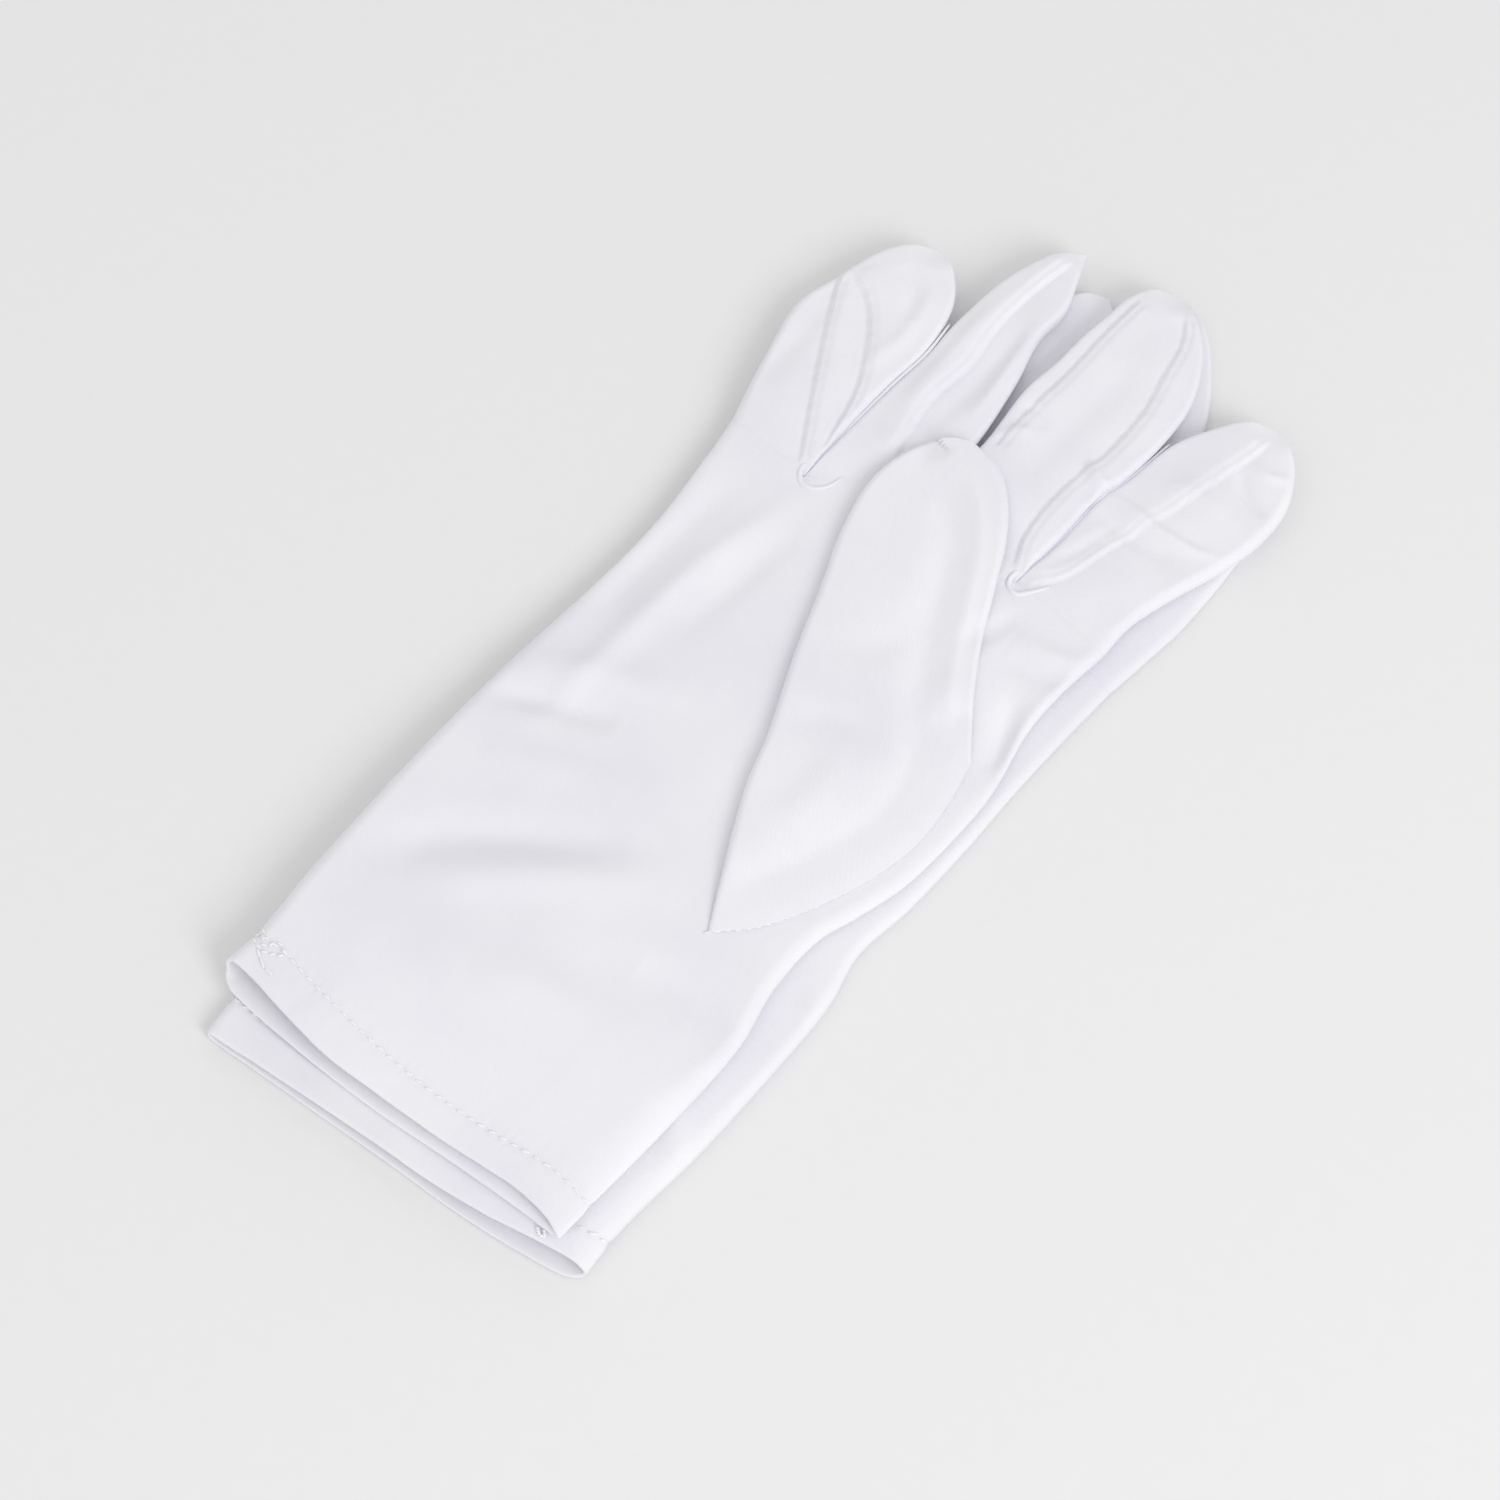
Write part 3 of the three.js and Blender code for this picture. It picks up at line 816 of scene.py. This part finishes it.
leftFingers = dict(
    little=dict(
        left=[(-40.4, 147), (-44.5, 165), (-47, 178), (-46, 192), (-42, 201), (-37, 204.5)],
        right=[(-21.5, 147), (-23.5, 163), (-25.4, 180), (-27, 192), (-31, 201), (-37, 204.5)],
        top=2.9,
    ),
    ring=dict(
        left=[(-21.5, 147), (-22, 165), (-22, 180), (-20.5, 200), (-17.4, 215), (-13, 223),
            (-8, 225.6)],
        right=[(1.5, 160.5), (0.4, 178), (-0.8, 195), (-1.4, 210), (-3, 220), (-8, 225.6)],
        top=3.0,
    ),
    middle=dict(
        left=[(1.5, 160.5), (1.4, 180), (0.8, 200), (0.4, 218), (1.6, 229), (6, 235.4)],
        right=[(26, 156), (26.4, 175), (27, 190), (28, 203), (27, 211.6), (22.6, 220),
            (15.9, 228.6), (10.5, 233.2), (6, 235.4)],
        top=3.0,
    ),
    index=dict(
        left=[(26, 156), (28, 175), (29.4, 190), (30.6, 203), (34, 210.6), (38.5, 213.6)],
        right=[(49.3, 153), (50.6, 166), (51.2, 175), (50.6, 190), (49, 202), (45, 210),
            (38.5, 213.6)],
        top=2.9,
    ),
)

leftFolds = [
    ([(52, 22), (44, 30), (36, 34)], 0.5, 2.6),
    ([(52, 60), (47, 66), (42, 68)], 0.4, 2.4),
]


def leftUnderAt(x, y):
    return np.full(x.shape, laying["leftUnder"])


leftCut.update(folds=leftFolds, seed=8, unrest=0.1, topColumns=30, underColumns=16, bodyRows=90)
leftTrank, leftRoots, leftStitchRow, leftRings = makeTrank(
    "left_trank", leftCut, leftUnderAt, leftTopAt, knit
)
leftPieces = {}
for index, (finger, plan) in enumerate(leftFingers.items()):
    plan.update(crown=0.0, unrest=0.05)  # no crown, and nearly even: it lies pressed under the other glove
    leftPieces[finger] = makeFinger(
        f"left_{finger}_finger", leftCut, plan, index, leftRoots, leftUnderAt, leftTopAt, knit,
        rows=80, seed=41 + index,
    )
print("left glove made")

for piece in (rightTrank, leftTrank, *rightPieces.values(), *leftPieces.values(), thumb):
    thicken(piece, laying["knit"])


def flatCut(left, right):
    # a folded piece opened out: both layers side by side, from its outline lying flat
    left, right = curveThrough(left, 80), curveThrough(right, 80)
    width = float(np.linalg.norm(left - right, axis=1).max())
    middle = (left + right) / 2
    length = float(np.linalg.norm(np.diff(middle, axis=0), axis=1).sum())
    x, y = np.concatenate([left, right[::-1]]).T
    area = abs(float(np.dot(x, np.roll(y, -1)) - np.dot(y, np.roll(x, -1)))) / 2
    return {"flat": (round(2 * width * mm, 4), round(length * mm, 4)), "area": round(2 * area * mm * mm, 6)}


def stitchTree():
    tree = bpy.data.node_groups.new("sewn stitches", "GeometryNodeTree")
    for name, way, kind in (
        ("Line", "INPUT", "Geometry"), ("Pitch", "INPUT", "Float"), ("Stitch length", "INPUT", "Float"),
        ("Thread width", "INPUT", "Float"), ("Slant", "INPUT", "Float"), ("Thread", "INPUT", "Material"),
        ("Stitches", "OUTPUT", "Geometry"),
    ):
        tree.interface.new_socket(name, in_out=way, socket_type="NodeSocket" + kind)
    given = addNode(tree, "NodeGroupInput")
    curve = addNode(tree, "GeometryNodeMeshToCurve", None, {"Mesh": given.outputs["Line"]})
    spots = addNode(
        tree, "GeometryNodeCurveToPoints", {"mode": "LENGTH"},
        {"Curve": curve, "Length": given.outputs["Pitch"]},
    )
    bead = addNode(tree, "GeometryNodeMeshUVSphere", {"Segments": 8, "Rings": 6, "Radius": 0.5})
    facing = addNode(
        tree, "FunctionNodeAlignRotationToVector", {"axis": "X"}, {"Vector": spots.outputs["Tangent"]},
    )
    size = addNode(
        tree, "ShaderNodeCombineXYZ", None,
        {"X": given.outputs["Stitch length"], "Y": given.outputs["Thread width"],
         "Z": given.outputs["Thread width"]},
    )
    uneven = addNode(tree, "FunctionNodeRandomValue", {"data_type": "FLOAT", "Seed": 5, 2: 0.82, 3: 1.12})
    sized = addNode(
        tree, "ShaderNodeVectorMath", {"operation": "SCALE"}, {"Vector": size, "Scale": uneven.outputs[1]},
    )
    laid = addNode(
        tree, "GeometryNodeInstanceOnPoints", None,
        {"Points": spots, "Instance": bead, "Rotation": facing, "Scale": sized},
    )
    sway = addNode(tree, "FunctionNodeRandomValue", {"data_type": "FLOAT", "Seed": 9, 2: -0.14, 3: 0.14})
    slant = addNode(
        tree, "ShaderNodeMath", {"operation": "ADD"}, {0: sway.outputs[1], 1: given.outputs["Slant"]},
    )
    turn = addNode(tree, "ShaderNodeCombineXYZ", None, {"Z": slant})
    turned = addNode(tree, "GeometryNodeRotateInstances", None, {"Instances": laid, "Rotation": turn})
    real = addNode(tree, "GeometryNodeRealizeInstances", None, {"Geometry": turned})
    soft = addNode(tree, "GeometryNodeSetShadeSmooth", None, {"Geometry": real})
    painted = addNode(
        tree, "GeometryNodeSetMaterial", None, {"Geometry": soft, "Material": given.outputs["Thread"]},
    )
    addNode(tree, "NodeGroupOutput", None, {"Stitches": painted})
    return tree


sewing = stitchTree()


def sewAlong(name, line, pitch, length, width, slant=0.0, loop=False):
    # line is in mm in the plan's own frame; the result is one plain mesh of thread
    points = (cuffMiddle + np.array(line) * mm).tolist()
    edges = [(k, k + 1) for k in range(len(points) - 1)]
    if loop:
        edges.append((len(points) - 1, 0))
    guide = bpy.data.meshes.new(name + "_line")
    guide.from_pydata(points, edges, [])
    holder = addObject(name + "_line", guide)
    sewn = holder.modifiers.new("stitches", "NODES")
    sewn.node_group = sewing
    values = {
        "Pitch": pitch * mm, "Stitch length": length * mm, "Thread width": width * mm, "Slant": slant,
        "Thread": thread,
    }
    for item in sewing.interface.items_tree:
        if item.in_out == "INPUT" and item.name in values:
            sewn[item.identifier] = values[item.name]
    bpy.context.view_layer.update()
    evaluated = holder.evaluated_get(bpy.context.evaluated_depsgraph_get())
    mesh = bpy.data.meshes.new_from_object(evaluated)
    holder.modifiers.clear()
    bpy.data.objects.remove(holder)
    if not mesh.materials:
        mesh.materials.append(thread)
    mesh.name = name
    return addObject(name, mesh)


tops = {
    glove: rings[:, : 4 * cut["topColumns"] + 1].reshape(-1, 3)
    for glove, rings, cut in (("right", rightRings, rightCut), ("left", leftRings, leftCut))
}


def onCloth(glove, points, lift):
    # the points, set lift mm above the upper side of a glove
    top = tops[glove]
    found = []
    for x, y in points:
        near = np.argsort((top[:, 0] - x) ** 2 + (top[:, 1] - y) ** 2)[:4]
        found.append((x, y, float(top[near, 2].mean()) + lift))
    return found


hemStitch = {"pitch": 2.45, "length": 1.75, "width": 0.46, "slant": 0.22}
rightHemThread = sewAlong("right_hem_stitches", rightStitchRow, loop=True, **hemStitch)
leftHemThread = sewAlong("left_hem_stitches", leftStitchRow, loop=True, **hemStitch)

# Short sewing: line, points along it, height over the cloth; then pitch, length, width (mm) and slant.
shortSewing = {
    # the tack where the hem's sewing starts and ends, and its one long loose stitch
    "right_hem_tack": (
        [(-37.6, 5.6), (-35.4, 3.4), (-33.4, 5.6), (-31, 4.4), (-34.6, 2.4), (-37.4, 3)],
        40, 0.3, 1.5, 1.35, 0.48, 0.3,
    ),
    "right_hem_loose_stitch": ([(-34.9, 1.6), (-33, 0.6), (-30.9, 0.2)], 9, 0.32, 1.9, 2.3, 0.44),
    # a knotted end
    "left_hem_knot": (
        [(39.4, -2.6), (40.4, -3.2), (41.4, -3), (40.6, -2.2)], 12, 0.35, 0.5, 0.9, 0.6, 0.6,
    ),
    # the heel of the thumb seam, where the stitches show
    "right_thumb_heel_stitches": (thumbCut["base"][:3], 40, 0.42, 1.9, 1.25, 0.34, 0.1),
}
shortPieces = []
for name, (line, count, lift, *stitch) in shortSewing.items():
    path = onCloth(name.split("_")[0], curveThrough(line, count), lift)
    shortPieces.append(sewAlong(name, path, *stitch))
rightTack, rightLoose, leftKnot, thumbStitches = shortPieces
print("stitches sewn")


rollShape = {"points": 48, "columns": 10, "girth": 4, "taper": 0.4}


def cordRoll(name, path, across, tall, material):
    # a narrow roll of cloth along a line of points, tapering to nothing at both ends
    path = curveThrough(path, rollShape["points"])
    along = np.gradient(path, axis=0)
    side = np.stack([along[:, 1], -along[:, 0], np.zeros(len(path))], axis=1)
    side = side / np.maximum(np.linalg.norm(side, axis=1, keepdims=True), 1e-9)
    up = np.array([0.0, 0.0, 1.0])
    swell = np.sin(np.pi * np.linspace(0.02, 0.98, len(path)))[:, None] ** rollShape["taper"]
    swell[0], swell[-1] = 0.0, 0.0
    turn = np.linspace(0, 2 * np.pi, rollShape["columns"], endpoint=False)
    rows = [path + swell * (side * across / 2 * math.cos(a) - up * tall / 2 * math.sin(a)) for a in turn]
    return clothMesh(name, np.stack(rows, axis=1)[:, ::-1], material, rollShape["girth"])


# the fourchettes turn over at the crotches and show as small curls of cloth
curls = {
    "right_little_ring_curl": [(-24.6, 156), (-27.6, 153.6), (-28.6, 150.6), (-26.6, 148), (-23.6, 148.2),
        (-21.4, 150.6), (-20.6, 154)],
    "right_middle_index_curl": [(23.4, 164.4), (21, 162.2), (19.4, 159.6), (20, 156.8), (22.6, 156),
        (24.8, 158.2), (27, 161.6)],
    "right_ring_middle_curl": [(-7.4, 168), (-6.4, 164.4), (-4.5, 162.2), (-2.4, 164.4), (-1.6, 168)],
}
curlPieces = {}
for name, line in curls.items():
    curlPieces[name] = cordRoll(name, onCloth("right", line, 0.1), 1.1, 0.9, knit)

# the fourchettes close the gaps between neighbouring fingers, just below their upper sides
fourchettes = {}
gapStrip = {"across": 1.0, "tall": 1.5, "below": 1.5, "widestGap": 1.7, "points": 90, "near": 3.0}
for beside, finger in (("little", "ring"), ("middle", "index")):
    near = curveThrough(rightFingers[beside]["right"], gapStrip["points"])
    far = curveThrough(rightFingers[finger]["left"], gapStrip["points"])
    away = np.linalg.norm(far[:, None] - near[None], axis=2)
    kept = [k for k in range(len(far)) if away[k].min() < gapStrip["widestGap"]]
    between = [(far[k] + near[int(away[k].argmin())]) / 2 for k in kept]
    cloud = np.array([v.co[:] for v in rightPieces[finger].data.vertices]) / mm - cuffMiddle / mm
    strip = []
    for x, y in between:
        close = cloud[(cloud[:, 0] - x) ** 2 + (cloud[:, 1] - y) ** 2 < gapStrip["near"] ** 2]
        strip.append((x, y, float(np.percentile(close[:, 2], 92)) - gapStrip["below"]))
    fourchettes[finger] = cordRoll(
        f"right_{beside}_{finger}_fourchette", strip, gapStrip["across"], gapStrip["tall"], knit
    )
print("fourchette strips made")

# the side seam's allowance lies pressed inside each glove
allowance = {"inward": 13.0, "up": 0.75, "across": 3.0, "tall": 0.45}
seamRolls = {}
for glove, cut, underAt in (("right", rightCut, rightUnderAt), ("left", leftCut, leftUnderAt)):
    points = []
    for x, y in curveThrough(cut["left"], 12):
        x += allowance["inward"]
        points.append((x, y, float(underAt(np.array([x]), np.array([y]))[0]) + allowance["up"]))
    seamRolls[glove] = cordRoll(
        f"{glove}_side_seam_allowance", points, allowance["across"], allowance["tall"], stripKnit
    )

# the left thumb, tucked flat between the layers of its glove
leftThumbPlan = dict(
    heel=(25, 71),
    tip=(5.4, 129),
    halfWidths=(10, 3),
    height=1.55,
    loft=0.42,
    turn=0.3,
    rows=60,
    columns=44,
    girth=40,
)
heelAt, tipAt = np.array(leftThumbPlan["heel"]), np.array(leftThumbPlan["tip"])
rows = []
for v in np.linspace(0, 1, leftThumbPlan["rows"]):
    centre = heelAt + (tipAt - heelAt) * v
    wide, narrower = leftThumbPlan["halfWidths"]
    half = (wide - narrower * v) * math.sqrt(max(0.0, 1 - v**5)) * min(1.0, 0.55 + v * 3)
    turn = np.linspace(0, 2 * np.pi, leftThumbPlan["columns"], endpoint=False)
    height = leftThumbPlan["height"] + leftThumbPlan["loft"] * np.sin(turn) * min(1.0, half / 3)
    across, along = half * np.cos(turn), half * leftThumbPlan["turn"] * np.cos(turn)
    rows.append(np.stack([centre[0] - across, centre[1] - along, height], axis=1))
leftThumb = clothMesh("left_thumb_cloth", np.array(rows), knit, leftThumbPlan["girth"])
thicken(leftThumb, laying["knit"])
print("crotch curls, seam allowances and left thumb made")

# which mesh rides on which body, and which parts of the frame it stands for
pairs = ("little_ring", "ring_middle", "middle_index")


def webNodes(glove, finger):
    names = []
    for pair in pairs:
        first, second = pair.split("_")
        if finger == first:
            names.append(f"{glove}_{pair}_web_a")
        if finger == second:
            names.append(f"{glove}_{pair}_web_b")
    return names


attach(rightTrank, "right_glove")
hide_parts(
    "right_palm_panel", "right_back_panel", "right_palm_hem", "right_back_hem",
)
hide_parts("right_side_seam")
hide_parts("left_side_seam")
for pair in pairs:
    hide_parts(f"right_{pair}_crotch")
for finger, piece in rightPieces.items():
    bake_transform(piece)
    if finger in fourchettes:
        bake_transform(fourchettes[finger])
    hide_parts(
        f"right_{finger}_root_front", f"right_{finger}_root_back", f"right_{finger}_front",
        f"right_{finger}_back", *webNodes("right", finger),
    )
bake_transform(thumb)
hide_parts("right_thumb_front", "right_thumb_back", "right_thumb_gusset", "right_thumb_seam")

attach(leftTrank, "left_glove")
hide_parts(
    "left_palm_panel", "left_back_panel", "left_palm_hem", "left_back_hem",
    *[f"left_{pair}_crotch" for pair in pairs],
)
for piece in (
    rightHemThread, rightTack, rightLoose, thumbStitches, seamRolls["right"], *curlPieces.values(),
):
    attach(piece, "right_glove")
for piece in (leftHemThread, leftKnot, seamRolls["left"], leftThumb):
    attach(piece, "left_glove")
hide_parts("right_hem_thread")
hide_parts("left_hem_thread")
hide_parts("left_thumb")
for finger, piece in leftPieces.items():
    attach(piece, "left_glove")
    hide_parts(f"left_{finger}_front", f"left_{finger}_back", *webNodes("left", finger))

view = dict(
    azimuth=41.0,
    elevation=64.0,
    distance=0.69417,
    target=(0.0016, -0.01055, 0.0),
    lens=85.0,
    floorHalf=9.0,
)
a, e = math.radians(view["azimuth"]), math.radians(view["elevation"])
back = Vector((math.sin(a) * math.cos(e), -math.cos(a) * math.cos(e), math.sin(e)))
camera = addObject("camera", bpy.data.cameras.new("camera"))
camera.data.lens = view["lens"]
camera.data.sensor_width = 36
camera.location = Vector(view["target"]) + back * view["distance"]
camera.rotation_mode = "QUATERNION"
camera.rotation_quaternion = (-back).to_track_quat("-Z", "Y")
camera.data.clip_start, camera.data.clip_end = 0.01, 40
bpy.context.scene.camera = camera

floorMesh = bpy.data.meshes.new("floor")
w = view["floorHalf"]
floorMesh.from_pydata([(-w, -w, 0), (w, -w, 0), (w, w, 0), (-w, w, 0)], [], [(0, 1, 2, 3)])
floor = addObject("floor", floorMesh)
floorPaint, paperTree, paperPlace = newMaterial("white backdrop paper, matt")
grain = addNode(paperTree, "ShaderNodeTexNoise", {"Scale": 260.0, "Detail": 3.0}, {"Vector": paperPlace})
tone = rampColour(paperTree, grain.outputs["Fac"], (0.0, linear("#EDEDED")), (1.0, linear("#EFEFEF")))
paper = addNode(
    paperTree, "ShaderNodeBsdfPrincipled", {"Roughness": 0.9, "Specular IOR Level": 0.1},
    {"Base Color": tone},
)
addNode(paperTree, "ShaderNodeOutputMaterial", None, {"Surface": paper})
floorMesh.materials.append(floorPaint)

lighting = dict(
    sky=0.75,
    key={"power": 7.15, "place": (1.15, -0.25, 0.95), "size": 0.7},
    fill={"power": 1.13, "place": (-0.2, -1.2, 1.5), "size": 1.4},
)
world = bpy.data.worlds.new("studio")
bpy.context.scene.world = world
world.use_nodes = True
sky = world.node_tree.nodes["Background"].inputs
sky["Color"].default_value = (1, 1, 1, 1)
sky["Strength"].default_value = lighting["sky"]


def softbox(name, place, power, size):
    lamp = bpy.data.lights.new(name, "AREA")
    lamp.shape, lamp.size, lamp.energy = "SQUARE", size, power
    box = addObject(name, lamp)
    box.location = place
    box.rotation_mode = "QUATERNION"
    box.rotation_quaternion = (Vector(view["target"]) - Vector(place)).to_track_quat("-Z", "Y")


for name in ("key", "fill"):
    softbox(name + " softbox", **lighting[name])
bpy.context.scene.view_settings.view_transform = "Standard"
bpy.context.scene.view_settings.look = "None"
print("camera and light set")

leftThumbEdges = [np.array([row[k, :2] for row in rows]) for k in (0, leftThumbPlan["columns"] // 2)]
leftThumbCut = flatCut(*leftThumbEdges)
for plans, pieces in ((rightFingers, rightPieces), (leftFingers, leftPieces)):
    for finger, piece in pieces.items():
        fingerCut = flatCut(plans[finger]["left"], plans[finger]["right"])
rightThumbCut = flatCut(thumbCut["left"], thumbCut["base"] + thumbCut["right"][1:])
